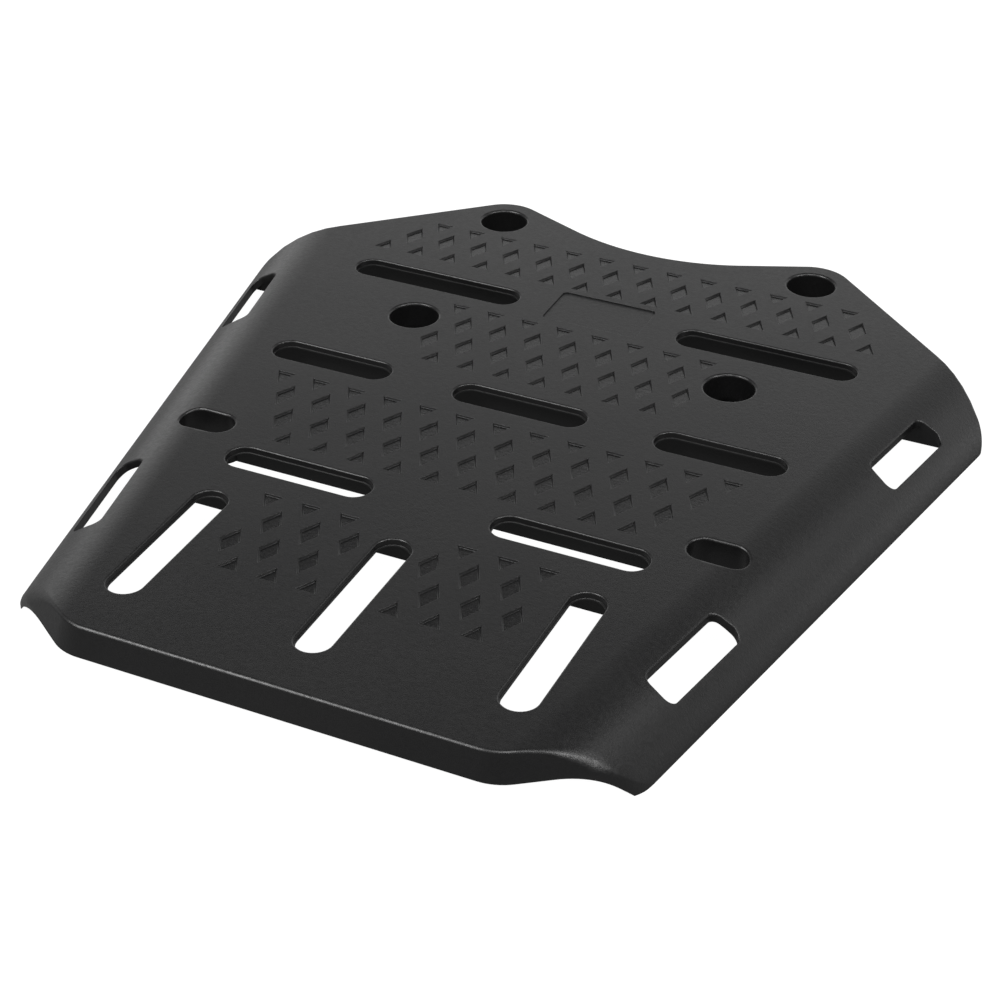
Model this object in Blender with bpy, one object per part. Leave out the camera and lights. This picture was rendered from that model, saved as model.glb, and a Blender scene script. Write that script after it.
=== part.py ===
# Motorcycle rear rack: one die-cast plate with bent-down sides, a rear lip, strap slots and windows.
# Axes: X across the plate, Y forward, Z up. The origin is under the middle of the plate's length, at the
# level of the side flanges' feet. Lengths are in metres.
import bpy
import bmesh
from math import acos, atan2, cos, hypot, pi, radians, sin, sqrt, tan
from mathutils import Matrix, Vector

MM = 0.001

# Overall size
LENGTH = 247.0 * MM              # rear lip's foot to the front of the ears
HEIGHT = 15.0 * MM               # top face above the flanges' feet
MID_HALF_WIDTH = 102.7 * MM      # half width across the flanges' feet, at mid-length
SIDE_TAPER = radians(10.8)       # each side leans out towards the front
WALL = 2.1 * MM                  # thickness of the casting
BEND_RADIUS = 25.0 * MM          # outside of the bend from the top face into a flange

# What is placed on the plate follows its size: shares of the half width and of the length
ACROSS = MID_HALF_WIDTH / 102.7
ALONG = LENGTH / 247

# Front edge: two ears with a shallow scoop between them
EAR_RADIUS = 12.3 * MM
SCOOP_DEPTH = 14.4 * ACROSS
SCOOP_RADIUS = 68.0 * ACROSS
FRONT_SLANT = radians(42.5)      # slanted edge from an ear to its side
FRONT_CORNER_RADIUS = 9.5 * MM

# Rear edge: a lip that leans outwards, with slanted corners
REAR_SLANT = radians(35.0)
REAR_SLANT_X = 55.7 * ACROSS     # where the slanted edge would meet the straight one
REAR_CORNER_RADIUS = 14.0 * MM
REAR_TIP_RADIUS = 13.0 * MM
LIP_HEIGHT = 7.1 * MM            # top face down to the lip's foot
LIP_LEAN = radians(20.0)
EDGE_FILLET = 0.7 * MM           # rounding where the top face meets its outer walls
SLANT_FILLET = 2.2 * MM          # the same at its widest, on the slanted corners
WIDEST_FILLET_X = 75.0 * ACROSS
FILLET_SPREAD = 13.0 * ACROSS    # from the widest rounding to the common one

# The foot of each lip runs down to the flanges' feet: X where the run starts, its slope and its rounding
REAR_FOOT = (76.0 * ACROSS, radians(57.0), 17.3 * MM)
FRONT_FOOT = (101.0 * ACROSS, radians(44.0), 6.0 * MM)
FRONT_FOOT_Y = 52.0 * ALONG      # the front lip's foot is cut from here on

# Bolt holes, counterbored for cap screws, each in a boss
FRONT_BOLT_X = 50.0 * ACROSS
REAR_BOLT_X = 48.2 * ACROSS
BOLT_PITCH = 66.2 * ALONG        # front pair to rear pair
COUNTERBORE_RADIUS = 7.0 * MM
COUNTERBORE_DEPTH = 9.5 * MM
BOLT_BORE_RADIUS = 4.25 * MM
BOLT_FILLET = 0.5 * MM
BOSS_RADIUS = 10.4 * MM
BOSS_SEAT_Z = 1.0 * MM           # seats are just above the flanges' feet

# Strap slots
SLOT_RADIUS = 4.75 * MM          # half the width of a slot
SLOT_FILLET = 0.6 * MM
LEDGE_DEPTH = 1.6 * MM           # below this the slot is narrower
LEDGE_WIDTH = 0.3 * MM
LEDGE_FALL = 0.15 * MM
# X, Y of a slot's middle, half its length from end to end, and whether it runs along Y
SLOTS = (
    (51.3 * ACROSS, 66.3 * ALONG, 26.4 * ACROSS, False),
    (57.4 * ACROSS, 12.3 * ALONG, 18.15 * ACROSS, False),
    (0.0, 12.3 * ALONG, 19.4 * ACROSS, False),
    (37.9 * ACROSS, -41.6 * ALONG, 20.95 * ACROSS, False),
    (51.6 * ACROSS, -82.2 * ALONG, 23.75 * ALONG, True),
    (0.0, -82.5 * ALONG, 24.35 * ALONG, True),
)

# Ovals: deep, in bosses of their own
OVALS = ((72.3 * ACROSS, -29.9 * ALONG, 7.8 * ACROSS, False),)
OVAL_RADIUS = 4.5 * MM
OVAL_FILLET = 0.8 * MM
OVAL_BOSS_WALL = 2.2 * MM
OVAL_BOSS_COVER = 0.33 * MM      # wall over the boss where the bend is lowest
OVAL_BOSS_DEPTH = 9.2 * MM

# Strap windows in the flanges: Y of the front edge, Y of the rear edge's inner end, slant of the rear edge
WINDOWS = ((53.7 * ALONG, 26.1 * ALONG, radians(19.0)), (-51.2 * ALONG, -81.1 * ALONG, radians(11.0)))
WINDOW_INNER = 14.0 * MM         # window's long edges, in from the foot of the flange
WINDOW_OUTER = 6.1 * MM
WINDOW_RADIUS = 2.4 * MM
WINDOW_FILLET = 0.5 * MM

# Cross ribs under the plate
RIB_DEPTH = 9.2 * MM             # top face down to a rib's foot
RIB_THICKNESS = 2.5 * MM
RIBS = (75.0 * ALONG, 53.8 * ALONG, 19.8 * ALONG, -32.1 * ALONG)     # rear face of each rib from flange to flange
SHORT_RIB = -53.9 * ALONG        # rear face of the rib between the rear windows
SHORT_RIB_HALF_LENGTH = 68.0 * ACROSS

# Grip pattern: diamonds sunk in the top face, cut in half where a band of rows starts and ends
COLUMN_PITCH = 10.87 * ACROSS
ROW_PITCH = 10.87 * ALONG
DIAMOND_HALF_WIDTH = 2.72 * ACROSS
DIAMOND_DEPTH = 0.6 * MM
DIAMOND_DRAFT = radians(22.0)
# Y of a band's first row, then each row's nearest and farthest column from the middle, in pitches
BANDS = (
    (100.9 * ALONG, ((0, 6), (0.5, 6.5), (0, 7))),
    (56.1 * ALONG, ((0.5, 3.5), (0, 3), (0.5, 3.5), (0, 3))),
    (1.1 * ALONG, ((0, 6), (0.5, 5.5), (0, 5), (0.5, 4.5))),
    (-53.9 * ALONG, ((1.5, 3.5), (1, 3), (1.5, 3.5), (1, 3))),
)

# Shallow panel near the front
PANEL_Y = 68.1 * ALONG
PANEL_LENGTH = 29.0 * ACROSS
PANEL_WIDTH = 17.0 * ALONG
PANEL_RADIUS = 1.5 * MM
PANEL_DEPTH = 0.4 * MM

# Facets
BEND_FACETS = 10
BEND_END = radians(78.0)         # the bend is drawn on below the flange's foot, then cut
SLOT_FACETS = 8
BOLT_FACETS = 28
CORNER_FACETS = 4
FOOT_FACETS = 6
FRONT_CORNER_FACETS = 8
EAR_FACETS = 10
SCOOP_FACETS = 10
SLANT_FACETS = 5                 # a slanted edge is cut up where it crosses the bend
RIM_FACETS = 2
RIB_FACETS = 5
OVERCUT = 2.0 * MM               # how far a cutter passes the face that it cuts
RIM_LIFT = 0.3 * MM              # how far a rim's cutter starts outside the face
LEAN_PASSES = 4                  # passes that find where the leaning lip meets the bent face
WELD = 0.001 * MM
SHARP = radians(35.0)            # edges turning more than this stay crisp

FRONT_Y = LENGTH / 2
REAR_Y = -LENGTH / 2
FRONT_BOLT_Y = FRONT_Y - EAR_RADIUS
BOLTS = ((FRONT_BOLT_X, FRONT_BOLT_Y), (REAR_BOLT_X, FRONT_BOLT_Y - BOLT_PITCH))
LIP_FOOT_Z = HEIGHT - LIP_HEIGHT
BEND_CENTRE_Z = HEIGHT - BEND_RADIUS
BEND_RUN = sqrt(BEND_RADIUS ** 2 - BEND_CENTRE_Z ** 2)
BEND_START_X = MID_HALF_WIDTH - BEND_RUN / cos(SIDE_TAPER)
DIAMOND_HALF_LENGTH = ROW_PITCH / 2
DIAMOND_INRADIUS = DIAMOND_HALF_WIDTH * DIAMOND_HALF_LENGTH / hypot(DIAMOND_HALF_WIDTH, DIAMOND_HALF_LENGTH)
SIDES = (1, -1)


def link(name, mesh, collection):
    """Put a mesh in the scene."""
    thing = bpy.data.objects.new(name, mesh)
    collection.objects.link(thing)
    return thing


def tool(name, mesh):
    """A body that only cuts or joins another one."""
    thing = link(name, mesh, TOOLS)
    thing.hide_render = True
    thing.display_type = 'WIRE'
    return thing


def finished(name, bm):
    """Turn edit data into a mesh with outward faces."""
    bmesh.ops.recalc_face_normals(bm, faces=bm.faces)
    mesh = bpy.data.meshes.new(name)
    bm.to_mesh(mesh)
    bm.free()
    return mesh


def loft(bm, rings):
    """Closed skin through rings that have the same number of points."""
    loops = [[bm.verts.new(point) for point in ring] for ring in rings]
    for near, far in zip(loops, loops[1:]):
        for i in range(len(near)):
            j = (i + 1) % len(near)
            bm.faces.new((near[i], near[j], far[j], far[i]))
    bm.faces.new(loops[0])
    bm.faces.new(loops[-1])


def prism(name, points, depth, place):
    """Flat outline with a depth along its own Z, moved by a matrix."""
    curve = bpy.data.curves.new(name, 'CURVE')
    curve.dimensions = '2D'
    curve.fill_mode = 'BOTH'
    curve.extrude = depth / 2
    spline = curve.splines.new('POLY')
    spline.points.add(len(points) - 1)
    for spot, (x, y) in zip(spline.points, points):
        spot.co = (x, y, 0, 1)
    spline.use_cyclic_u = True
    carrier = link(name, curve, TOOLS)
    raw = bpy.data.meshes.new_from_object(carrier)
    bm = bmesh.new()
    bm.from_mesh(raw)
    bmesh.ops.remove_doubles(bm, verts=bm.verts, dist=WELD)
    bmesh.ops.transform(bm, matrix=place, verts=bm.verts)
    bpy.data.objects.remove(carrier)
    bpy.data.curves.remove(curve)
    bpy.data.meshes.remove(raw)
    return finished(name, bm)


def upright(y):
    """Matrix that stands a flat outline in the XZ plane, centred on y."""
    return Matrix.Translation((0, y, 0)) @ Matrix.Rotation(radians(90), 4, 'X')


def combine(body, other, operation):
    """Boolean of a body with another one."""
    modifier = body.modifiers.new(other.name, 'BOOLEAN')
    modifier.operation = operation
    modifier.solver = 'EXACT'
    modifier.object = other


def bend_start(y):
    """X where the bend starts."""
    return BEND_START_X + y * tan(SIDE_TAPER)


def top_z(x, y):
    """Height of the outer face: flat in the middle, round over each bend."""
    run = max((abs(x) - bend_start(y)) * cos(SIDE_TAPER), 0)
    return BEND_CENTRE_Z + sqrt(BEND_RADIUS ** 2 - run ** 2)


def corner(first, second, radius, growth, facets):
    """Rounded corner between two edges, each given by its outward normal's angle and its distance."""
    a, p = first
    b, q = second
    x = ((p - radius) * sin(b) - (q - radius) * sin(a)) / sin(b - a)
    y = ((q - radius) * cos(a) - (p - radius) * cos(b)) / sin(b - a)
    angles = [a + (b - a) * i / facets for i in range(facets + 1)]
    return [(x + (radius + growth) * cos(t), y + (radius + growth) * sin(t)) for t in angles]


def distance(angle, x, y):
    """Distance from the origin to the edge through a point, along the edge's normal."""
    return x * cos(angle) + y * sin(angle)


def outline(flare, growth):
    """Plate's outline in plan. The rear edges move out with flare, which is one at the lip's foot."""
    pull = LIP_HEIGHT * tan(LIP_LEAN) * (1 - flare)
    slant = REAR_SLANT - pi / 2
    front = pi / 2 - FRONT_SLANT
    scoop_y = FRONT_Y - SCOOP_DEPTH + SCOOP_RADIUS
    reach = hypot(FRONT_BOLT_X, scoop_y - FRONT_BOLT_Y)
    towards = atan2(scoop_y - FRONT_BOLT_Y, -FRONT_BOLT_X) - acos((EAR_RADIUS + SCOOP_RADIUS) / reach)
    edges = [
        (-pi / 2, -REAR_Y - pull),
        (slant, distance(slant, REAR_SLANT_X, REAR_Y) - pull),
        (-SIDE_TAPER, distance(SIDE_TAPER, MID_HALF_WIDTH, 0)),
        (front, distance(front, FRONT_BOLT_X, FRONT_BOLT_Y) + EAR_RADIUS),
        (towards, distance(towards, FRONT_BOLT_X, FRONT_BOLT_Y) + EAR_RADIUS),
    ]
    radii = (REAR_CORNER_RADIUS, REAR_TIP_RADIUS, FRONT_CORNER_RADIUS, EAR_RADIUS)
    facets = (CORNER_FACETS, CORNER_FACETS, FRONT_CORNER_FACETS, EAR_FACETS)
    cuts_before = (0, SLANT_FACETS, 0, SLANT_FACETS)
    half = []
    for first, second, radius, count, cuts in zip(edges, edges[1:], radii, facets, cuts_before):
        rounding = corner(first, second, radius, growth, count)
        for i in range(1, cuts):
            half.append(tuple(Vector(half[-i]).lerp(Vector(rounding[0]), i / cuts)))
        half += rounding
    sweep = towards - pi / 2
    for i in range(SCOOP_FACETS + 1):
        angle = sweep * (1 - 2 * i / SCOOP_FACETS)
        radius = SCOOP_RADIUS - growth
        half.append((radius * sin(angle), scoop_y - radius * cos(angle)))
    count = len(half) - SCOOP_FACETS - 1
    return half + [(-x, y) for x, y in reversed(half[:count])]


def flare_at(z):
    """Share of the lip's lean that is reached at a height; below the lip's foot it stays upright."""
    return min((HEIGHT - z) / LIP_HEIGHT, 1)


def widening(x, y):
    """How much wider than the common one the outer edge's rounding is."""
    if y > 0:
        return 1
    share = max(1 - abs(abs(x) - WIDEST_FILLET_X) / FILLET_SPREAD, 0)
    return 1 + (SLANT_FILLET / EDGE_FILLET - 1) * share * share * (3 - 2 * share)


def bent_slab(name, inset):
    """Long slab with both sides bent down, inset from the outer face."""
    rings = []
    radius = BEND_RADIUS - inset
    for y in (REAR_Y - 5 * OVERCUT, FRONT_Y + 5 * OVERCUT):
        side = []
        for i in range(BEND_FACETS + 1):
            angle = BEND_END * i / BEND_FACETS
            side.append((bend_start(y) + radius * sin(angle) / cos(SIDE_TAPER), y,
                         BEND_CENTRE_Z + radius * cos(angle)))
        rings.append(side + [(-x, y, z) for x, y, z in reversed(side)])
    bm = bmesh.new()
    loft(bm, rings)
    return finished(name, bm)


def outline_block(name, growth, steps):
    """Block with the plate's outline and the lip's lean; steps round its rim along the outer face."""
    plan = outline(0, growth)
    rings = []
    for step, depth in steps:
        ring = []
        for k, spot in enumerate(plan):
            wide = widening(*spot)
            flare = 0
            for _ in range(LEAN_PASSES):
                x, y = outline(flare, growth - step * wide)[k]
                z = top_z(x, y) - depth * wide
                flare = flare_at(z)
            ring.append((x, y, z))
        rings.append(ring)
    rings.insert(0, [(x, y, HEIGHT + OVERCUT) for x, y, z in rings[0]])
    low = outline(1, growth)
    rings.append([(x, y, min(LIP_FOOT_Z, z - WELD)) for (x, y), (u, v, z) in zip(low, rings[-1])])
    rings.append([(x, y, -4 * OVERCUT) for x, y in low])
    bm = bmesh.new()
    loft(bm, rings)
    bmesh.ops.triangulate(bm, faces=bm.faces)
    return finished(name, bm)


def foot_cut(name, foot, low_y, high_y):
    """Everything under the lips and the flanges' feet, between two places along the plate."""
    reach = 2 * MID_HALF_WIDTH
    corner_x, slope, radius = foot
    meet_x = corner_x + LIP_FOOT_Z / tan(slope)
    rise = corner((pi / 2 - slope, distance(pi / 2 - slope, corner_x, LIP_FOOT_Z)), (pi / 2, LIP_FOOT_Z),
                  radius, 0, FOOT_FACETS)
    right = [(reach, -HEIGHT), (reach, 0), (meet_x, 0)] + rise
    points = right + [(-x, z) for x, z in reversed(right)]
    return prism(name, points, high_y - low_y, upright((low_y + high_y) / 2))


def rib_section(y):
    """Half section of a cross rib that ends inside the flange's wall."""
    radius = BEND_RADIUS - WALL / 2
    end = acos((HEIGHT - RIB_DEPTH - BEND_CENTRE_Z) / radius)
    side = []
    for i in range(RIB_FACETS + 1):
        angle = end * (1 - i / RIB_FACETS)
        side.append((bend_start(y) + radius * sin(angle) / cos(SIDE_TAPER),
                     BEND_CENTRE_Z + radius * cos(angle)))
    return side


def add_rib(name, side, y):
    """Join one cross rib to the plate, cut off inside the outer walls."""
    points = side + [(-x, z) for x, z in reversed(side)]
    rib = tool(name, prism(name, points, RIB_THICKNESS, upright(y)))
    combine(rib, bpy.data.objects['rib_outline'], 'INTERSECT')
    combine(plate, rib, 'UNION')


def stadium(x, y, half_length, along_y, radius, growth):
    """Outline of a slot with round ends."""
    straight = half_length - radius
    ring = []
    for end in SIDES:
        for i in range(SLOT_FACETS + 1):
            angle = pi * (i / SLOT_FACETS - 0.5)
            u = end * (straight + (radius + growth) * cos(angle))
            v = end * (radius + growth) * sin(angle)
            ring.append((x - v, y + u) if along_y else (x + u, y + v))
    return ring


def circle(x, y, radius):
    """Outline of a round hole."""
    turns = [2 * pi * i / BOLT_FACETS for i in range(BOLT_FACETS)]
    return [(x + radius * cos(turn), y + radius * sin(turn)) for turn in turns]


def window(front_y, rear_y, rear_slant, growth):
    """Outline of a window in the right flange: front edge straight across, rear edge slanted."""
    foot = distance(SIDE_TAPER, MID_HALF_WIDTH, 0)
    rear = -pi / 2 - rear_slant
    inner_x = (foot - WINDOW_INNER + rear_y * sin(SIDE_TAPER)) / cos(SIDE_TAPER)
    edges = [
        (-SIDE_TAPER, foot - WINDOW_OUTER),
        (pi / 2, front_y),
        (pi - SIDE_TAPER, WINDOW_INNER - foot),
        (pi * 2 + rear, distance(rear, inner_x, rear_y)),
        (pi * 2 - SIDE_TAPER, foot - WINDOW_OUTER),
    ]
    ring = []
    for first, second in zip(edges, edges[1:]):
        ring += corner(first, second, WINDOW_RADIUS, growth, CORNER_FACETS)
    return ring


def rim(fillet):
    """Growth and depth of a hole's rounded rim, from just outside the face down to the wall."""
    turns = [pi / 2 * i / RIM_FACETS for i in range(RIM_FACETS + 1)]
    steps = [(fillet * (1 - sin(turn)), fillet * (1 - cos(turn))) for turn in turns]
    growth, depth = steps[1]
    steps[0] = (fillet + (fillet - growth) * RIM_LIFT / depth, -RIM_LIFT)
    return steps


def hole(bm, shape, steps):
    """Cutter right through: its rings follow the outer face at the given depths, its ends are flat."""
    rings = [[(x, y, top_z(x, y) - depth) for x, y in shape(growth)] for growth, depth in steps]
    upper = [(x, y, HEIGHT + OVERCUT) for x, y, z in rings[0]]
    lower = [(x, y, -OVERCUT) for x, y, z in rings[-1]]
    loft(bm, [upper] + rings + [lower])


def mirrored(x):
    """Both places of something that stands off the middle, or the one on it."""
    return (x, -x) if x else (x,)


def holes(name):
    """Cutters for the slots, ovals, windows and bolt holes."""
    ledge = [(0, LEDGE_DEPTH), (-LEDGE_WIDTH, LEDGE_DEPTH + LEDGE_FALL)]
    bm = bmesh.new()
    for slot in SLOTS:
        for place in mirrored(slot[0]):
            hole(bm, lambda growth: stadium(place, *slot[1:], SLOT_RADIUS, growth),
                 rim(SLOT_FILLET) + ledge)
    for oval in OVALS:
        for place in mirrored(oval[0]):
            hole(bm, lambda growth: stadium(place, *oval[1:], OVAL_RADIUS, growth), rim(OVAL_FILLET))
    for opening in WINDOWS:
        for side in SIDES:
            hole(bm, lambda growth: [(side * x, y) for x, y in window(*opening, growth)],
                 rim(WINDOW_FILLET))
    step = BOLT_BORE_RADIUS - COUNTERBORE_RADIUS
    for x, y in BOLTS:
        for place in mirrored(x):
            hole(bm, lambda growth: circle(place, y, COUNTERBORE_RADIUS + growth),
                 rim(BOLT_FILLET) + [(0, COUNTERBORE_DEPTH), (step, COUNTERBORE_DEPTH)])
    bmesh.ops.triangulate(bm, faces=bm.faces)
    return finished(name, bm)


def bosses(name):
    """Bosses under the ovals and round the bolts."""
    bm = bmesh.new()
    for oval in OVALS:
        for place in mirrored(oval[0]):
            ring = stadium(place, *oval[1:], OVAL_RADIUS, OVAL_BOSS_WALL)
            top = min(top_z(x, y) for x, y in ring) - OVAL_BOSS_COVER
            loft(bm, [[(x, y, z) for x, y in ring] for z in (top, HEIGHT - OVAL_BOSS_DEPTH)])
    boss_top = HEIGHT - WALL / 2
    for x, y in BOLTS:
        for place in mirrored(x):
            bmesh.ops.create_cone(
                bm, cap_ends=True, segments=BOLT_FACETS, radius1=BOSS_RADIUS, radius2=BOSS_RADIUS,
                depth=boss_top - BOSS_SEAT_Z,
                matrix=Matrix.Translation((place, y, (boss_top + BOSS_SEAT_Z) / 2)))
    return finished(name, bm)


def diamond(bm, x, y, keep):
    """Cutter for one sunk diamond; keep is 1 or -1 for only its front or rear half."""
    slope = tan(DIAMOND_DRAFT) / DIAMOND_INRADIUS
    middle = HEIGHT + (OVERCUT - DIAMOND_DEPTH) / 2
    place = Matrix.Translation((x, y, middle)) @ Matrix.Diagonal(
        (DIAMOND_HALF_WIDTH, DIAMOND_HALF_LENGTH, 1, 1))
    made = bmesh.ops.create_cone(
        bm, cap_ends=True, segments=4, radius1=1 - slope * DIAMOND_DEPTH, radius2=1 + slope * OVERCUT,
        depth=OVERCUT + DIAMOND_DEPTH, matrix=place)
    if keep:
        verts = made['verts']
        edges = {edge for vert in verts for edge in vert.link_edges}
        faces = {face for vert in verts for face in vert.link_faces}
        bmesh.ops.bisect_plane(bm, geom=list(verts) + list(edges) + list(faces), dist=WELD,
                               plane_co=(x, y, 0), plane_no=(0, -keep, 0), clear_outer=True)
        bmesh.ops.holes_fill(bm, edges=[edge for edge in bm.edges if edge.is_boundary])


def grip(name):
    """Cutter for the bands of sunk diamonds."""
    bm = bmesh.new()
    for first_y, rows in BANDS:
        for row, (nearest, farthest) in enumerate(rows):
            y = first_y - row * ROW_PITCH
            keep = -1 if row == 0 else 1 if row == len(rows) - 1 else 0
            column = nearest
            while column <= farthest:
                for x in mirrored(column * COLUMN_PITCH):
                    diamond(bm, x, y, keep)
                column += 1
    return finished(name, bm)


def panel(name):
    """Cutter for the shallow panel."""
    edges = [(0, PANEL_LENGTH / 2), (pi / 2, PANEL_WIDTH / 2), (pi, PANEL_LENGTH / 2),
             (3 * pi / 2, PANEL_WIDTH / 2), (2 * pi, PANEL_LENGTH / 2)]
    ring = []
    for first, second in zip(edges, edges[1:]):
        ring += corner(first, second, PANEL_RADIUS, 0, CORNER_FACETS)
    depth = PANEL_DEPTH + OVERCUT
    return prism(name, ring, depth, Matrix.Translation((0, PANEL_Y, HEIGHT - PANEL_DEPTH + depth / 2)))


def black_coat():
    """Satin black coat on cast aluminium."""
    material = bpy.data.materials.new('black_coat')
    material.use_nodes = True
    shader = material.node_tree.nodes['Principled BSDF']
    shader.inputs['Base Color'].default_value = (0.022, 0.022, 0.024, 1)
    shader.inputs['Roughness'].default_value = 0.42
    return material


for thing in list(bpy.data.objects):
    bpy.data.objects.remove(thing)
PARTS = bpy.data.collections.new('motorcycle_rear_rack')
TOOLS = bpy.data.collections.new('cutters')
bpy.context.scene.collection.children.link(PARTS)
bpy.context.scene.collection.children.link(TOOLS)

plate = link('rack_plate', bent_slab('rack_plate', 0), PARTS)
combine(plate, tool('plan_outline', outline_block('plan_outline', 0, rim(EDGE_FILLET))), 'INTERSECT')

hollow = tool('hollow', bent_slab('hollow', WALL))
combine(hollow, tool('hollow_outline', outline_block('hollow_outline', -WALL, [(0, 0)])), 'INTERSECT')
combine(plate, hollow, 'DIFFERENCE')
combine(plate, tool('rear_foot', foot_cut('rear_foot', REAR_FOOT, 2 * REAR_Y, FRONT_FOOT_Y + OVERCUT)),
        'DIFFERENCE')
combine(plate, tool('front_foot', foot_cut('front_foot', FRONT_FOOT, FRONT_FOOT_Y, 2 * FRONT_Y)),
        'DIFFERENCE')
tool('rib_outline', outline_block('rib_outline', -WALL / 2, [(0, 0)]))
for rear_face in RIBS:
    middle = rear_face + RIB_THICKNESS / 2
    add_rib('cross_rib', rib_section(middle), middle)
short = [(SHORT_RIB_HALF_LENGTH, HEIGHT - RIB_DEPTH), (SHORT_RIB_HALF_LENGTH, HEIGHT - WALL / 2)]
add_rib('short_rib', short, SHORT_RIB + RIB_THICKNESS / 2)
combine(plate, tool('bosses', bosses('bosses')), 'UNION')
combine(plate, tool('holes', holes('holes')), 'DIFFERENCE')
combine(plate, tool('panel', panel('panel')), 'DIFFERENCE')
combine(plate, tool('grip', grip('grip')), 'DIFFERENCE')

# Keep the finished shape, smooth over the bends and crisp at the edges
shape = bpy.data.meshes.new_from_object(plate.evaluated_get(bpy.context.evaluated_depsgraph_get()))
shape.shade_smooth()
shape.set_sharp_from_angle(angle=SHARP)
plate.modifiers.clear()
plate.data = shape
shape.materials.clear()
shape.materials.append(black_coat())
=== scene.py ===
"""Motorcycle rear rack: the die-cast plate in full detail, its black coat, a floor and soft light.

X runs across the plate, Y forward and Z up, in metres. The plate is built as the part's solid is,
with finer facets and rounder edges.
"""
from math import acos, atan2, cos, hypot, pi, radians, sin, sqrt, tan

import bpy
import bmesh
from mathutils import Matrix, Vector


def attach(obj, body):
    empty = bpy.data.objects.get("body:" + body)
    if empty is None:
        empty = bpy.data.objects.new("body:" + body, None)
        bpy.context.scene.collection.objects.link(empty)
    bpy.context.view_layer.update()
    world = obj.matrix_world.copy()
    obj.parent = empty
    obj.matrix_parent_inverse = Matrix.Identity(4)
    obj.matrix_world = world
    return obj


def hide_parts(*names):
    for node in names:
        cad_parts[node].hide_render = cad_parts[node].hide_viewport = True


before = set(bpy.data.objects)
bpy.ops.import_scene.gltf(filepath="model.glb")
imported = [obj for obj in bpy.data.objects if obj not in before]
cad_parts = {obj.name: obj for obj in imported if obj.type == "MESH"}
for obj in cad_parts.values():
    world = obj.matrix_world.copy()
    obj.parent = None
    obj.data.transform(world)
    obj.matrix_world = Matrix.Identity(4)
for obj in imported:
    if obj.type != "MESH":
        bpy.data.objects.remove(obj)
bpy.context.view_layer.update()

MM = 0.001

# Overall size
LENGTH = 247.0 * MM              # rear lip's foot to the front of the ears
HEIGHT = 15.0 * MM               # top face above the flanges' feet
MID_HALF_WIDTH = 102.7 * MM      # half width across the flanges' feet, at mid-length
SIDE_TAPER = radians(10.8)       # each side leans out towards the front
WALL = 2.1 * MM                  # thickness of the casting
BEND_RADIUS = 25.0 * MM          # outside of the bend from the top face into a flange

# Front edge: two ears with a shallow scoop between them
EAR_RADIUS = 12.3 * MM
SCOOP_DEPTH = 14.4 * MM
SCOOP_RADIUS = 68.0 * MM
FRONT_SLANT = radians(42.5)      # slanted edge from an ear to its side
FRONT_CORNER_RADIUS = 9.5 * MM

# Rear edge: a lip that leans outwards, with slanted corners
REAR_SLANT = radians(35.0)
REAR_SLANT_X = 55.7 * MM         # where the slanted edge would meet the straight one
REAR_CORNER_RADIUS = 14.0 * MM
REAR_TIP_RADIUS = 13.0 * MM
LIP_HEIGHT = 7.1 * MM            # top face down to the lip's foot
LIP_LEAN = radians(20.0)
EDGE_FILLET = 0.7 * MM           # rounding where the top face meets its outer walls
SLANT_FILLET = 2.2 * MM          # the same at its widest, on the slanted corners
WIDEST_FILLET_X = 75.0 * MM
FILLET_SPREAD = 13.0 * MM        # from the widest rounding to the common one
WORN_FILLET = 1.7 * MM           # the same where the lip's edge is worn
WORN_X = -22.0 * MM
WORN_SPREAD = 38.0 * MM

# The foot of each lip runs down to the flanges' feet: X where the run starts, slope, rounding
REAR_FOOT = (76.0 * MM, radians(57.0), 17.3 * MM)
FRONT_FOOT = (101.0 * MM, radians(44.0), 6.0 * MM)
FRONT_FOOT_Y = 52.0 * MM         # the front lip's foot is cut from here on

# Bolt holes, counterbored for cap screws, each in a boss
FRONT_BOLT_X = 50.0 * MM
REAR_BOLT_X = 48.2 * MM
BOLT_PITCH = 66.2 * MM           # front pair to rear pair
COUNTERBORE_RADIUS = 7.0 * MM
COUNTERBORE_DEPTH = 9.5 * MM
BOLT_BORE_RADIUS = 4.25 * MM
BOLT_FILLET = 0.85 * MM
BOSS_RADIUS = 10.4 * MM
BOSS_SEAT_Z = 1.0 * MM           # seats are just above the flanges' feet

# Strap slots
SLOT_RADIUS = 4.75 * MM          # half the width of a slot
SLOT_FILLET = 0.6 * MM
LEDGE_DEPTH = 1.6 * MM           # below this the slot is narrower
LEDGE_WIDTH = 0.3 * MM
LEDGE_FALL = 0.15 * MM
# X, Y of a slot's middle, half its length from end to end, and whether it runs along Y
SLOTS = (
    (51.3 * MM, 66.3 * MM, 26.4 * MM, False),
    (57.4 * MM, 12.3 * MM, 18.15 * MM, False),
    (0.0, 12.3 * MM, 19.4 * MM, False),
    (37.9 * MM, -41.6 * MM, 20.95 * MM, False),
    (51.6 * MM, -82.2 * MM, 23.75 * MM, True),
    (0.0, -82.5 * MM, 24.35 * MM, True),
)

# Ovals: deep, in bosses of their own
OVALS = ((72.3 * MM, -29.9 * MM, 7.8 * MM, False),)
OVAL_RADIUS = 4.5 * MM
OVAL_FILLET = 0.8 * MM
OVAL_BOSS_WALL = 2.2 * MM
OVAL_BOSS_TOP = 1.8 * MM         # top face down to the boss's hidden top
OVAL_BOSS_DEPTH = 9.2 * MM

# Strap windows in the flanges: Y of the front edge, Y of the rear edge's inner end, its slant
WINDOWS = (
    (53.7 * MM, 26.1 * MM, radians(19.0)),
    (-51.2 * MM, -81.1 * MM, radians(11.0)),
)
WINDOW_INNER = 14.0 * MM         # window's long edges, in from the foot of the flange
WINDOW_OUTER = 6.1 * MM
WINDOW_RADIUS = 2.4 * MM
WINDOW_FILLET = 0.5 * MM

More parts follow.
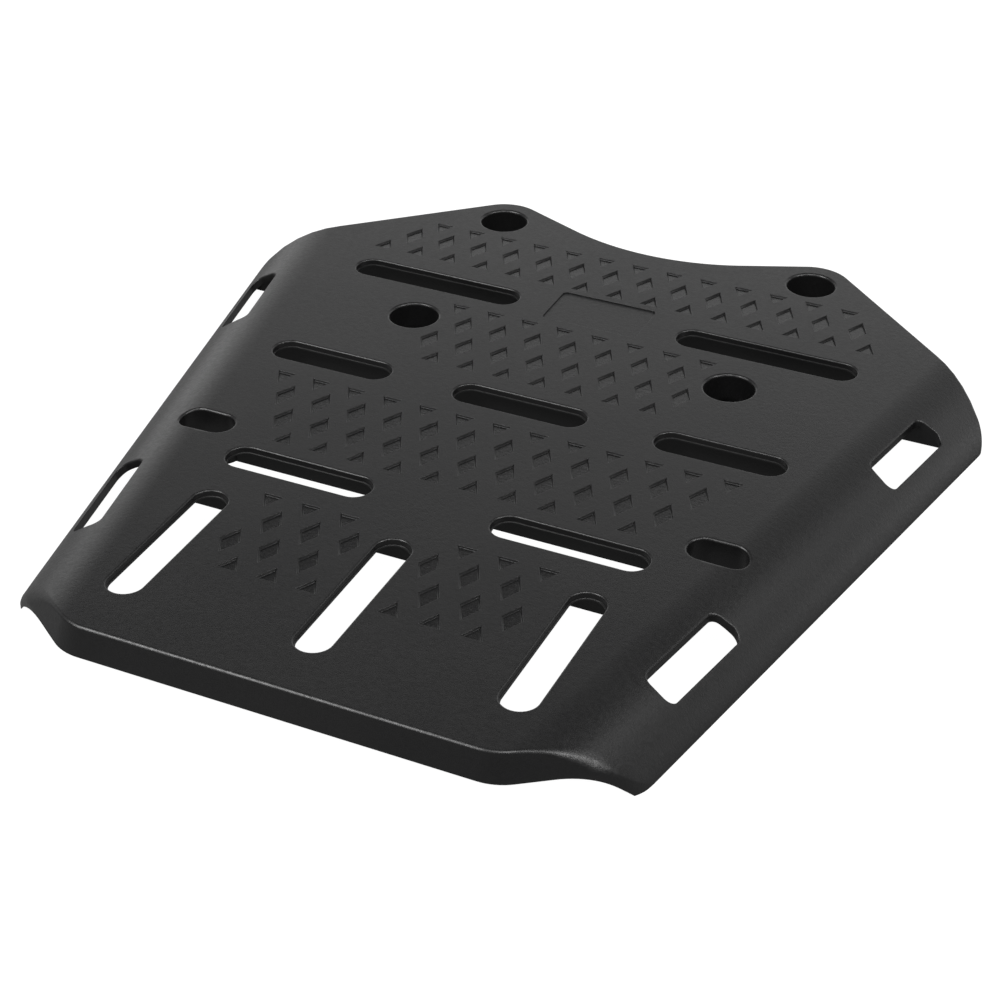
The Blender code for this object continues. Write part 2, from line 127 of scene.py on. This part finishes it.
# Cross ribs under the plate
RIB_DEPTH = 9.2 * MM             # top face down to a rib's foot
RIB_THICKNESS = 2.5 * MM
RIBS = (75.0 * MM, 53.8 * MM, 19.8 * MM, -32.1 * MM)     # rear face of each rib
SHORT_RIB = -53.9 * MM           # rear face of the rib between the rear windows
SHORT_RIB_HALF_LENGTH = 68.0 * MM

# Grip pattern: diamonds sunk in the top face, cut in half where a band of rows starts and ends
DIAMOND_PITCH = 10.87 * MM       # from column to column and from row to row
DIAMOND_HALF_WIDTH = 2.72 * MM
DIAMOND_DEPTH = 0.62 * MM
DIAMOND_DRAFT = radians(18.0)
DIAMOND_FILLET = 0.1 * MM
DIAMOND_FOOT_FILLET = 0.25 * MM
# Y of a band's first row, then each row's nearest and farthest column from the middle, in pitches
BANDS = (
    (100.9 * MM, ((0, 6), (0.5, 6.5), (0, 7))),
    (56.1 * MM, ((0.5, 3.5), (0, 3), (0.5, 3.5), (0, 3))),
    (1.1 * MM, ((0, 6), (0.5, 5.5), (0, 5), (0.5, 4.5))),
    (-53.9 * MM, ((1.5, 3.5), (1, 3), (1.5, 3.5), (1, 3))),
)

# Shallow panel near the front
PANEL_Y = 68.1 * MM
PANEL_LENGTH = 29.0 * MM
PANEL_WIDTH = 17.0 * MM
PANEL_RADIUS = 1.5 * MM
PANEL_DEPTH = 0.4 * MM
PANEL_FILLET = 0.12 * MM
PANEL_WALL_LEAN = 0.05 * MM      # the panel's floor is smaller by this, all round

# Facets
BEND_FACETS = 44
BEND_END = radians(78.0)         # the bend is drawn on below the flange's foot, then cut
SLOT_FACETS = 18
BOLT_FACETS = 64
CORNER_FACETS = 8
FOOT_FACETS = 16
FRONT_CORNER_FACETS = 20
EAR_FACETS = 24
SCOOP_FACETS = 24
SLANT_FACETS = 16                # a slanted edge is cut up where it crosses the bend
RIM_FACETS = 5
FINE_RIM_FACETS = 3              # on the diamonds and the panel
RIB_FACETS = 16

# Cutters
OVERCUT = 2.0 * MM               # how far a cutter passes the face that it cuts
SLAB_OVERHANG = 10.0 * MM        # how far a bent slab passes the plate's ends
BLOCK_FOOT_Z = -8.0 * MM         # foot of the blocks that trim to the outline
RIM_LIFT = 0.3 * MM              # how far a rim's cutter starts outside the face, at most
LEAN_PASSES = 6                  # passes that find where the leaning lip meets the bent face
RING_DROP = 0.001 * MM           # least drop from a block's rim to the ring below it

# Shading
SHARP = radians(32.0)            # edges turning more than this stay crisp
NORMAL_WEIGHT = 100              # large faces set the shading of the small ones beside them
ON_SKIN = 0.01 * MM              # a corner this near to the outer face lies on it
SKIN_ANGLE = radians(18.0)       # and takes its direction, unless that turns it more than this

# Coat. A noise is its scale, detail and roughness; a bump is its strength and height.
CLOUD_NOISE = (28, 3, 0.5)
CLOUD_SPAN = (0.35, 0.65)
COAT_DARK = (0.0046, 0.0046, 0.0048, 1)
COAT_PALE = (0.0064, 0.0063, 0.0064, 1)
CAST_NOISE = (900, 3, 0.6)
CAST_SPAN = (0.3, 0.7)
CAST_BUMP = (0.5, 0.08 * MM)
COAT_ROUGHNESS = (0.31, 0.41)
GRAIN_NOISE = (2600, 2, 0.6)
GRAIN_BUMP = (0.6, 0.05 * MM)
SUNK_FROM = 0.45 * MM            # level faces at least this far down are glossier
LEVEL = 0.995                    # least upward part of a level face's direction
SUNK_GLOSS = 0.18                # taken off the roughness there

# Floor and surroundings
FLOOR_HALF_SIZE = 6.0
FLOOR_COLOUR = (0.08, 0.08, 0.08, 1)
FLOOR_ROUGHNESS = 0.9
FLOOR_GLOW = 0.17                # what the plate gets from the floor's own glow
FLOOR_GLOW_SEEN = 1.0            # what is seen of it directly
WHITE = (1, 1, 1, 1)
SURROUNDINGS = 0.16

# Soft boxes: name, place, the point that it faces, width and height, brightness of its face
SOFT_BOXES = (
    ('back_low_box', (-0.3, 1.5, 0.28), (-0.3, 0, 0.28), (3.8, 0.56), 0.79),
    ('back_high_box', (-0.4, 1.5, 0.80), (-0.4, 0, 0.80), (3.6, 0.48), 0.67),
    ('back_right_box', (1.6, 1.4, 0.2), (0.1, 0, 0.05), (1.2, 0.35), 1.05),
    ('right_back_box', (1.1, 0.95, 0.85), (0.05, 0, 0), (0.9, 0.7), 0.25),
    ('left_box', (-1.6, 0.6, 0.40), (-0.1, 0, 0.1), (1.6, 0.8), 0.50),
    ('top_left_box', (-0.60, -0.62, 1.0), (0, -0.03, 0), (0.5, 0.5), 15.0),
    ('top_box', (0.30, -0.45, 1.15), (0, -0.03, 0), (0.5, 0.45), 9.0),
    ('right_top_box', (0.80, 0.36, 1.0), (0, 0, 0), (0.3, 0.3), 4.0),
    ('right_box', (1.1, -0.15, 0.95), (0.07, -0.11, 0.01), (0.35, 0.35), 18.0),
)

# Camera, solved from the slots, holes and diamonds of the top face
AIM = Vector((0.014604, -0.031749, 0.015))
AZIMUTH = radians(24.69)
ELEVATION = radians(33.775)
ROLL = radians(0.216)
REACH = 0.546137                 # camera to the point that it aims at
FOCAL = 78.01                    # millimetres, as the sensor's width
SENSOR_WIDTH = 36
CLIP_START = 0.01

FRONT_Y = LENGTH / 2
REAR_Y = -LENGTH / 2
FRONT_BOLT_Y = FRONT_Y - EAR_RADIUS
BOLTS = ((FRONT_BOLT_X, FRONT_BOLT_Y), (REAR_BOLT_X, FRONT_BOLT_Y - BOLT_PITCH))
LIP_FOOT_Z = HEIGHT - LIP_HEIGHT
BEND_CENTRE_Z = HEIGHT - BEND_RADIUS
BEND_RUN = sqrt(BEND_RADIUS ** 2 - BEND_CENTRE_Z ** 2)
BEND_START_X = MID_HALF_WIDTH - BEND_RUN / cos(SIDE_TAPER)
DIAMOND_HALF_LENGTH = DIAMOND_PITCH / 2
DIAMOND_INRADIUS = (DIAMOND_HALF_WIDTH * DIAMOND_HALF_LENGTH
                    / hypot(DIAMOND_HALF_WIDTH, DIAMOND_HALF_LENGTH))
SIDES = (1, -1)
cutters = []


def link(name, data):
    """Put a mesh, light or camera in the scene."""
    thing = bpy.data.objects.new(name, data)
    bpy.context.scene.collection.objects.link(thing)
    return thing


def tool(name, mesh):
    """A body that only cuts or joins another one, and is removed in the end."""
    thing = link(name, mesh)
    cutters.append(thing)
    return thing


def finished(name, bm):
    """Turn edit data into a mesh with outward faces."""
    bmesh.ops.recalc_face_normals(bm, faces=bm.faces)
    mesh = bpy.data.meshes.new(name)
    bm.to_mesh(mesh)
    bm.free()
    return mesh


def loft(bm, rings):
    """Closed skin through rings that have the same number of points."""
    loops = [[bm.verts.new(point) for point in ring] for ring in rings]
    for near, far in zip(loops, loops[1:]):
        for i in range(len(near)):
            j = (i + 1) % len(near)
            bm.faces.new((near[i], near[j], far[j], far[i]))
    bm.faces.new(loops[0])
    bm.faces.new(loops[-1])


def standing_prism(name, points, depth, y):
    """Outline in the XZ plane with a depth along Y, centred on y."""
    bm = bmesh.new()
    loft(bm, [[(x, y + side * depth / 2, z) for x, z in points] for side in SIDES])
    return finished(name, bm)


def combine(body, other, operation):
    """Boolean of a body with another one."""
    modifier = body.modifiers.new(other.name, 'BOOLEAN')
    modifier.operation = operation
    modifier.solver = 'EXACT'
    modifier.object = other


def settled(thing):
    """Give an object the mesh that its modifiers make, and drop them."""
    graph = bpy.context.evaluated_depsgraph_get()
    mesh = bpy.data.meshes.new_from_object(thing.evaluated_get(graph))
    thing.modifiers.clear()
    thing.data = mesh
    return mesh


def bend_start(y):
    """X where the bend starts."""
    return BEND_START_X + y * tan(SIDE_TAPER)


def top_z(x, y):
    """Height of the outer face: flat in the middle, round over each bend."""
    run = max((abs(x) - bend_start(y)) * cos(SIDE_TAPER), 0)
    return BEND_CENTRE_Z + sqrt(BEND_RADIUS ** 2 - run ** 2)


def skin_normal(x, y):
    """Outward direction of the outer face."""
    run = min(max((abs(x) - bend_start(y)) * cos(SIDE_TAPER), 0), BEND_RADIUS)
    side = 1 if x > 0 else -1
    lean = run / BEND_RADIUS
    return Vector((side * lean * cos(SIDE_TAPER), -lean * sin(SIDE_TAPER), sqrt(1 - lean ** 2)))


def corner(first, second, radius, growth, facets):
    """Rounded corner between two edges, each given by its outward normal's angle and distance."""
    a, p = first
    b, q = second
    x = ((p - radius) * sin(b) - (q - radius) * sin(a)) / sin(b - a)
    y = ((q - radius) * cos(a) - (p - radius) * cos(b)) / sin(b - a)
    angles = [a + (b - a) * i / facets for i in range(facets + 1)]
    return [(x + (radius + growth) * cos(t), y + (radius + growth) * sin(t)) for t in angles]


def distance(angle, x, y):
    """Distance from the origin to the edge through a point, along the edge's normal."""
    return x * cos(angle) + y * sin(angle)


def outline(flare, growth):
    """Plate's outline in plan. The rear edges move out with flare, up to one at the lip's foot."""
    pull = LIP_HEIGHT * tan(LIP_LEAN) * (1 - flare)
    slant = REAR_SLANT - pi / 2
    front = pi / 2 - FRONT_SLANT
    scoop_y = FRONT_Y - SCOOP_DEPTH + SCOOP_RADIUS
    reach = hypot(FRONT_BOLT_X, scoop_y - FRONT_BOLT_Y)
    towards = (atan2(scoop_y - FRONT_BOLT_Y, -FRONT_BOLT_X)
               - acos((EAR_RADIUS + SCOOP_RADIUS) / reach))
    edges = [
        (-pi / 2, -REAR_Y - pull),
        (slant, distance(slant, REAR_SLANT_X, REAR_Y) - pull),
        (-SIDE_TAPER, distance(SIDE_TAPER, MID_HALF_WIDTH, 0)),
        (front, distance(front, FRONT_BOLT_X, FRONT_BOLT_Y) + EAR_RADIUS),
        (towards, distance(towards, FRONT_BOLT_X, FRONT_BOLT_Y) + EAR_RADIUS),
    ]
    radii = (REAR_CORNER_RADIUS, REAR_TIP_RADIUS, FRONT_CORNER_RADIUS, EAR_RADIUS)
    facets = (CORNER_FACETS, CORNER_FACETS, FRONT_CORNER_FACETS, EAR_FACETS)
    cuts_before = (0, SLANT_FACETS, 0, SLANT_FACETS)
    half = []
    for first, second, radius, count, cuts in zip(edges, edges[1:], radii, facets, cuts_before):
        rounding = corner(first, second, radius, growth, count)
        start = half[-1] if half else None
        for i in range(1, cuts):
            half.append(tuple(Vector(start).lerp(Vector(rounding[0]), i / cuts)))
        half += rounding
    sweep = towards - pi / 2
    for i in range(SCOOP_FACETS + 1):
        angle = sweep * (1 - 2 * i / SCOOP_FACETS)
        radius = SCOOP_RADIUS - growth
        half.append((radius * sin(angle), scoop_y - radius * cos(angle)))
    count = len(half) - SCOOP_FACETS - 1
    return half + [(-x, y) for x, y in reversed(half[:count])]


def flare_at(z):
    """Share of the lip's lean that is reached at a height; below its foot the wall is upright."""
    return min((HEIGHT - z) / LIP_HEIGHT, 1)


def eased(share):
    """Smooth rise from zero to one; a share below zero counts as zero."""
    share = max(share, 0)
    return share * share * (3 - 2 * share)


def widening(x, y):
    """How much wider than the common one the outer edge's rounding is."""
    if y > 0:
        return 1
    worn = eased(1 - abs(x - WORN_X) / WORN_SPREAD)
    slanted = eased(1 - abs(abs(x) - WIDEST_FILLET_X) / FILLET_SPREAD)
    wide = 1 + (WORN_FILLET / EDGE_FILLET - 1) * worn
    return wide + (SLANT_FILLET / EDGE_FILLET - wide) * slanted


def bent_slab(name, inset):
    """Long slab with both sides bent down, inset from the outer face."""
    rings = []
    radius = BEND_RADIUS - inset
    for y in (REAR_Y - SLAB_OVERHANG, FRONT_Y + SLAB_OVERHANG):
        side = []
        for i in range(BEND_FACETS + 1):
            angle = BEND_END * i / BEND_FACETS
            side.append((bend_start(y) + radius * sin(angle) / cos(SIDE_TAPER), y,
                         BEND_CENTRE_Z + radius * cos(angle)))
        rings.append(side + [(-x, y, z) for x, y, z in reversed(side)])
    bm = bmesh.new()
    loft(bm, rings)
    return finished(name, bm)


def outline_block(name, growth, steps):
    """Block with the plate's outline and the lip's lean, its rim rounded by steps."""
    plan = outline(0, growth)
    rings = []
    for step, depth in steps:
        ring = []
        for k, spot in enumerate(plan):
            wide = widening(*spot)
            flare = 0
            # Only the rear half leans, so the front half needs one pass
            for _ in range(LEAN_PASSES if spot[1] < 0 else 1):
                x, y = outline(flare, growth - step * wide)[k]
                z = top_z(x, y) - depth * wide
                flare = flare_at(z)
            ring.append((x, y, z))
        rings.append(ring)
    rings.insert(0, [(x, y, HEIGHT + OVERCUT) for x, y, z in rings[0]])
    low = outline(1, growth)
    rings.append([(x, y, min(LIP_FOOT_Z, higher[2] - RING_DROP))
                  for (x, y), higher in zip(low, rings[-1])])
    rings.append([(x, y, BLOCK_FOOT_Z) for x, y in low])
    bm = bmesh.new()
    loft(bm, rings)
    bmesh.ops.triangulate(bm, faces=bm.faces)
    return finished(name, bm)


def foot_cut(name, foot, low_y, high_y):
    """Everything under the lips and the flanges' feet, between two places along the plate."""
    reach = 2 * MID_HALF_WIDTH
    corner_x, slope, radius = foot
    meet_x = corner_x + LIP_FOOT_Z / tan(slope)
    run_edge = (pi / 2 - slope, distance(pi / 2 - slope, corner_x, LIP_FOOT_Z))
    rise = corner(run_edge, (pi / 2, LIP_FOOT_Z), radius, 0, FOOT_FACETS)
    right = [(reach, -HEIGHT), (reach, 0), (meet_x, 0)] + rise
    points = right + [(-x, z) for x, z in reversed(right)]
    return standing_prism(name, points, high_y - low_y, (low_y + high_y) / 2)


def rib_section(y):
    """Half section of a cross rib that ends inside the flange's wall."""
    radius = BEND_RADIUS - WALL / 2
    end = acos((HEIGHT - RIB_DEPTH - BEND_CENTRE_Z) / radius)
    side = []
    for i in range(RIB_FACETS + 1):
        angle = end * (1 - i / RIB_FACETS)
        side.append((bend_start(y) + radius * sin(angle) / cos(SIDE_TAPER),
                     BEND_CENTRE_Z + radius * cos(angle)))
    return side


def add_rib(side, y):
    """Join one cross rib to the plate, cut off inside the outer walls."""
    points = side + [(-x, z) for x, z in reversed(side)]
    rib = tool('rib', standing_prism('rib', points, RIB_THICKNESS, y))
    combine(rib, rib_outline, 'INTERSECT')
    combine(plate, rib, 'UNION')


def stadium(x, y, half_length, along_y, radius, growth):
    """Outline of a slot with round ends."""
    straight = half_length - radius
    ring = []
    for end in SIDES:
        for i in range(SLOT_FACETS + 1):
            angle = pi * (i / SLOT_FACETS - 0.5)
            u = end * (straight + (radius + growth) * cos(angle))
            v = end * (radius + growth) * sin(angle)
            ring.append((x - v, y + u) if along_y else (x + u, y + v))
    return ring


def circle(x, y, radius):
    """Outline of a round hole."""
    turns = [2 * pi * i / BOLT_FACETS for i in range(BOLT_FACETS)]
    return [(x + radius * cos(turn), y + radius * sin(turn)) for turn in turns]


def window(front_y, rear_y, rear_slant, growth):
    """Outline of a window in the right flange: front edge straight across, rear edge slanted."""
    foot = distance(SIDE_TAPER, MID_HALF_WIDTH, 0)
    rear = -pi / 2 - rear_slant
    inner_x = (foot - WINDOW_INNER + rear_y * sin(SIDE_TAPER)) / cos(SIDE_TAPER)
    edges = [
        (-SIDE_TAPER, foot - WINDOW_OUTER),
        (pi / 2, front_y),
        (pi - SIDE_TAPER, WINDOW_INNER - foot),
        (pi * 2 + rear, distance(rear, inner_x, rear_y)),
        (pi * 2 - SIDE_TAPER, foot - WINDOW_OUTER),
    ]
    ring = []
    for first, second in zip(edges, edges[1:]):
        ring += corner(first, second, WINDOW_RADIUS, growth, CORNER_FACETS)
    return ring


def rim(fillet, facets=RIM_FACETS):
    """Growth and depth of a rounded rim, from just outside the face down to the wall."""
    turns = [pi / 2 * i / facets for i in range(facets + 1)]
    steps = [(fillet * (1 - sin(turn)), fillet * (1 - cos(turn))) for turn in turns]
    growth, depth = steps[1]
    lift = min(RIM_LIFT, fillet / 2)
    steps[0] = (fillet + (fillet - growth) * lift / depth, -lift)
    return steps


def hole(bm, shape, steps):
    """Cutter right through: its rings follow the outer face at the given depths."""
    rings = [[(x, y, top_z(x, y) - depth) for x, y in shape(growth)] for growth, depth in steps]
    upper = [(x, y, HEIGHT + OVERCUT) for x, y, z in rings[0]]
    lower = [(x, y, -OVERCUT) for x, y, z in rings[-1]]
    loft(bm, [upper] + rings + [lower])


def mirrored(x):
    """Both places of something that stands off the middle, or the one on it."""
    return (x, -x) if x else (x,)


def holes(name):
    """Cutters for the slots, ovals, windows and bolt holes."""
    ledge = [(0, LEDGE_DEPTH), (-LEDGE_WIDTH, LEDGE_DEPTH + LEDGE_FALL)]
    step = BOLT_BORE_RADIUS - COUNTERBORE_RADIUS
    counterbore = [(0, COUNTERBORE_DEPTH), (step, COUNTERBORE_DEPTH)]
    bm = bmesh.new()
    for slot in SLOTS:
        for place in mirrored(slot[0]):
            hole(bm, lambda growth: stadium(place, *slot[1:], SLOT_RADIUS, growth),
                 rim(SLOT_FILLET) + ledge)
    for oval in OVALS:
        for place in mirrored(oval[0]):
            hole(bm, lambda growth: stadium(place, *oval[1:], OVAL_RADIUS, growth),
                 rim(OVAL_FILLET))
    for opening in WINDOWS:
        for side in SIDES:
            hole(bm, lambda growth: [(side * x, y) for x, y in window(*opening, growth)],
                 rim(WINDOW_FILLET))
    for x, y in BOLTS:
        for place in mirrored(x):
            hole(bm, lambda growth: circle(place, y, COUNTERBORE_RADIUS + growth),
                 rim(BOLT_FILLET) + counterbore)
    bmesh.ops.triangulate(bm, faces=bm.faces)
    return finished(name, bm)


def bosses(name):
    """Bosses under the ovals and round the bolts."""
    bm = bmesh.new()
    for oval in OVALS:
        for place in mirrored(oval[0]):
            ring = stadium(place, *oval[1:], OVAL_RADIUS, OVAL_BOSS_WALL)
            levels = (HEIGHT - OVAL_BOSS_TOP, HEIGHT - OVAL_BOSS_DEPTH)
            loft(bm, [[(x, y, z) for x, y in ring] for z in levels])
    for x, y in BOLTS:
        for place in mirrored(x):
            ring = circle(place, y, BOSS_RADIUS)
            levels = (BOSS_SEAT_Z, HEIGHT - WALL / 2)
            loft(bm, [[(u, v, z) for u, v in ring] for z in levels])
    return finished(name, bm)


def diamond_ring(x, y, growth, z, keep):
    """Rhombus outline at a height; keep is 1 or -1 for only its front or rear half."""
    scale = 1 + growth / DIAMOND_INRADIUS
    wide = DIAMOND_HALF_WIDTH * scale
    tall = DIAMOND_HALF_LENGTH * scale
    if not keep:
        return [(x + wide, y, z), (x, y + tall, z), (x - wide, y, z), (x, y - tall, z)]
    base_y = y - growth * keep
    half_base = wide * (1 + growth / tall)
    return [(x + half_base, base_y, z), (x, y + keep * tall, z), (x - half_base, base_y, z)]


def diamond_steps():
    """Growth and depth of a diamond's rounded rim, leaning wall and rounded foot."""
    slope = tan(DIAMOND_DRAFT)
    steps = [(growth - slope * max(depth, 0), depth)
             for growth, depth in rim(DIAMOND_FILLET, FINE_RIM_FACETS)]
    for i in range(1, FINE_RIM_FACETS + 1):
        turn = pi / 2 * i / FINE_RIM_FACETS
        depth = DIAMOND_DEPTH - DIAMOND_FOOT_FILLET * (1 - sin(turn))
        steps.append((-slope * depth - DIAMOND_FOOT_FILLET * (1 - cos(turn)), depth))
    return steps


def grip(name):
    """Cutter for the bands of sunk diamonds."""
    bm = bmesh.new()
    steps = diamond_steps()
    for first_y, rows in BANDS:
        for row, (nearest, farthest) in enumerate(rows):
            y = first_y - row * DIAMOND_PITCH
            keep = -1 if row == 0 else 1 if row == len(rows) - 1 else 0
            column = nearest
            while column <= farthest:
                for x in mirrored(column * DIAMOND_PITCH):
                    loft(bm, [diamond_ring(x, y, growth, HEIGHT - depth, keep)
                              for growth, depth in steps])
                column += 1
    return finished(name, bm)


def panel(name):
    """Cutter for the shallow panel."""
    edges = [(0, PANEL_LENGTH / 2), (pi / 2, PANEL_WIDTH / 2), (pi, PANEL_LENGTH / 2),
             (3 * pi / 2, PANEL_WIDTH / 2), (2 * pi, PANEL_LENGTH / 2)]
    bm = bmesh.new()
    rings = []
    for growth, depth in rim(PANEL_FILLET, FINE_RIM_FACETS) + [(-PANEL_WALL_LEAN, PANEL_DEPTH)]:
        ring = []
        for first, second in zip(edges, edges[1:]):
            ring += corner(first, second, PANEL_RADIUS, growth, CORNER_FACETS)
        rings.append([(x, y + PANEL_Y, HEIGHT - depth) for x, y in ring])
    loft(bm, rings)
    return finished(name, bm)


# The plate: a bent slab trimmed to its outline and hollowed, then its feet, ribs, bosses and holes
plate = link('cast_plate', bent_slab('cast_plate', 0))
trim = tool('plan_outline', outline_block('plan_outline', 0, rim(EDGE_FILLET)))
combine(plate, trim, 'INTERSECT')
hollow = tool('hollow', bent_slab('hollow', WALL))
inner_trim = tool('hollow_outline', outline_block('hollow_outline', -WALL, [(0, 0)]))
combine(hollow, inner_trim, 'INTERSECT')
combine(plate, hollow, 'DIFFERENCE')
rear_foot = foot_cut('rear_foot', REAR_FOOT, 2 * REAR_Y, FRONT_FOOT_Y + OVERCUT)
combine(plate, tool('rear_foot', rear_foot), 'DIFFERENCE')
front_foot = foot_cut('front_foot', FRONT_FOOT, FRONT_FOOT_Y, 2 * FRONT_Y)
combine(plate, tool('front_foot', front_foot), 'DIFFERENCE')
rib_outline = tool('rib_outline', outline_block('rib_outline', -WALL / 2, [(0, 0)]))
for rear_face in RIBS:
    middle = rear_face + RIB_THICKNESS / 2
    add_rib(rib_section(middle), middle)
short = [(SHORT_RIB_HALF_LENGTH, HEIGHT - RIB_DEPTH), (SHORT_RIB_HALF_LENGTH, HEIGHT - WALL / 2)]
add_rib(short, SHORT_RIB + RIB_THICKNESS / 2)
combine(plate, tool('bosses', bosses('bosses')), 'UNION')
combine(plate, tool('holes', holes('holes')), 'DIFFERENCE')
combine(plate, tool('panel', panel('panel')), 'DIFFERENCE')
combine(plate, tool('grip', grip('grip')), 'DIFFERENCE')
shape = settled(plate)
for thing in cutters:
    bpy.data.objects.remove(thing)

# Smooth shading over the bends, crisp at the edges
shape.shade_smooth()
shape.set_sharp_from_angle(angle=SHARP)
weighted = plate.modifiers.new('weighted', 'WEIGHTED_NORMAL')
weighted.keep_sharp = True
weighted.weight = NORMAL_WEIGHT
shape = settled(plate)
normals = [Vector(item.vector) for item in shape.corner_normals]
for loop in shape.loops:
    x, y, z = shape.vertices[loop.vertex_index].co
    if abs(z - top_z(x, y)) < ON_SKIN:
        ideal = skin_normal(x, y)
        if normals[loop.index].angle(ideal) < SKIN_ANGLE:
            normals[loop.index] = ideal
shape.normals_split_custom_set([tuple(normal) for normal in normals])

# Black satin coat over the casting's grain
coat = bpy.data.materials.new('black_coat_fine')
coat.use_nodes = True
nodes = coat.node_tree.nodes
links = coat.node_tree.links
shader = nodes['Principled BSDF']
place = nodes.new('ShaderNodeTexCoord').outputs['Object']


def noise(scale, detail, rough):
    """Noise over the plate's own coordinates."""
    node = nodes.new('ShaderNodeTexNoise')
    node.inputs['Scale'].default_value = scale
    node.inputs['Detail'].default_value = detail
    node.inputs['Roughness'].default_value = rough
    links.new(place, node.inputs['Vector'])
    return node.outputs[0]


def spread(source, span, new_span):
    """Map one span of values to another."""
    node = nodes.new('ShaderNodeMapRange')
    node.inputs['From Min'].default_value, node.inputs['From Max'].default_value = span
    node.inputs['To Min'].default_value, node.inputs['To Max'].default_value = new_span
    links.new(source, node.inputs['Value'])
    return node.outputs[0]


def arithmetic(operation, first, second):
    """Output of a math node; each term is a number or another node's output."""
    node = nodes.new('ShaderNodeMath')
    node.operation = operation
    for socket, value in zip(node.inputs, (first, second)):
        if isinstance(value, float):
            socket.default_value = value
        else:
            links.new(value, socket)
    return node.outputs[0]


def upward(source):
    """Z of a vector."""
    node = nodes.new('ShaderNodeSeparateXYZ')
    links.new(source, node.inputs[0])
    return node.outputs['Z']


def bump(source, strength, height):
    """Bump node whose relief follows a source."""
    node = nodes.new('ShaderNodeBump')
    node.inputs['Strength'].default_value = strength
    node.inputs['Distance'].default_value = height
    links.new(source, node.inputs['Height'])
    return node


cast = noise(*CAST_NOISE)
tint = nodes.new('ShaderNodeMix')
tint.data_type = 'RGBA'
tint.inputs['A'].default_value = COAT_DARK
tint.inputs['B'].default_value = COAT_PALE
links.new(spread(noise(*CLOUD_NOISE), CLOUD_SPAN, (0, 1)), tint.inputs['Factor'])
links.new(tint.outputs['Result'], shader.inputs['Base Color'])

# The diamonds' floors and the counterbores' ledges are never rubbed, so they keep more gloss
facing = nodes.new('ShaderNodeNewGeometry').outputs['True Normal']
sunk = arithmetic('LESS_THAN', upward(place), HEIGHT - SUNK_FROM)
sunk_floor = arithmetic('MULTIPLY', sunk, arithmetic('GREATER_THAN', upward(facing), LEVEL))
gloss = arithmetic('MULTIPLY', sunk_floor, SUNK_GLOSS)
roughness = arithmetic('SUBTRACT', spread(cast, CAST_SPAN, COAT_ROUGHNESS), gloss)
links.new(roughness, shader.inputs['Roughness'])

fine_relief = bump(noise(*GRAIN_NOISE), *GRAIN_BUMP)
relief = bump(cast, *CAST_BUMP)
links.new(fine_relief.outputs[0], relief.inputs['Normal'])
links.new(relief.outputs[0], shader.inputs['Normal'])

shape.materials.clear()
shape.materials.append(coat)
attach(plate, 'root')
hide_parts('rack_plate')

# Pale floor. Its glow is stronger straight to the camera, so the black coat isn't lit by all of it.
floor = link('floor', bpy.data.meshes.new('floor'))
bm = bmesh.new()
bmesh.ops.create_grid(bm, x_segments=1, y_segments=1, size=FLOOR_HALF_SIZE)
bm.to_mesh(floor.data)
bm.free()
pale = bpy.data.materials.new('pale_floor')
pale.use_nodes = True
paper = pale.node_tree.nodes['Principled BSDF']
paper.inputs['Base Color'].default_value = FLOOR_COLOUR
paper.inputs['Roughness'].default_value = FLOOR_ROUGHNESS
paper.inputs['Emission Color'].default_value = WHITE
seen = pale.node_tree.nodes.new('ShaderNodeLightPath')
glow = pale.node_tree.nodes.new('ShaderNodeMapRange')
glow.inputs['To Min'].default_value = FLOOR_GLOW
glow.inputs['To Max'].default_value = FLOOR_GLOW_SEEN
pale.node_tree.links.new(seen.outputs['Is Camera Ray'], glow.inputs['Value'])
pale.node_tree.links.new(glow.outputs[0], paper.inputs['Emission Strength'])
floor.data.materials.append(pale)

# Soft light
world = bpy.data.worlds.new('studio')
bpy.context.scene.world = world
world.use_nodes = True
world.node_tree.nodes['Background'].inputs['Color'].default_value = WHITE
world.node_tree.nodes['Background'].inputs['Strength'].default_value = SURROUNDINGS

for name, spot, aim, (width, height), brightness in SOFT_BOXES:
    light = bpy.data.lights.new(name, 'AREA')
    light.shape = 'RECTANGLE'
    light.size = width
    light.size_y = height
    light.energy = brightness * pi * width * height
    lamp = link(name, light)
    lamp.location = spot
    lamp.rotation_euler = (Vector(aim) - Vector(spot)).to_track_quat('-Z', 'Y').to_euler()

# Camera
back = Vector((sin(AZIMUTH) * cos(ELEVATION), -cos(AZIMUTH) * cos(ELEVATION), sin(ELEVATION)))
level = Vector((cos(AZIMUTH), sin(AZIMUTH), 0))
rise = back.cross(level)
right = cos(ROLL) * level + sin(ROLL) * rise
above = cos(ROLL) * rise - sin(ROLL) * level
lens = bpy.data.cameras.new('camera')
lens.lens = FOCAL
lens.sensor_width = SENSOR_WIDTH
lens.clip_start = CLIP_START
camera = link('camera', lens)
turn = Matrix((right, above, back)).transposed().to_4x4()
camera.matrix_world = Matrix.Translation(AIM + REACH * back) @ turn
bpy.context.scene.camera = camera
bpy.context.scene.view_settings.view_transform = 'Standard'
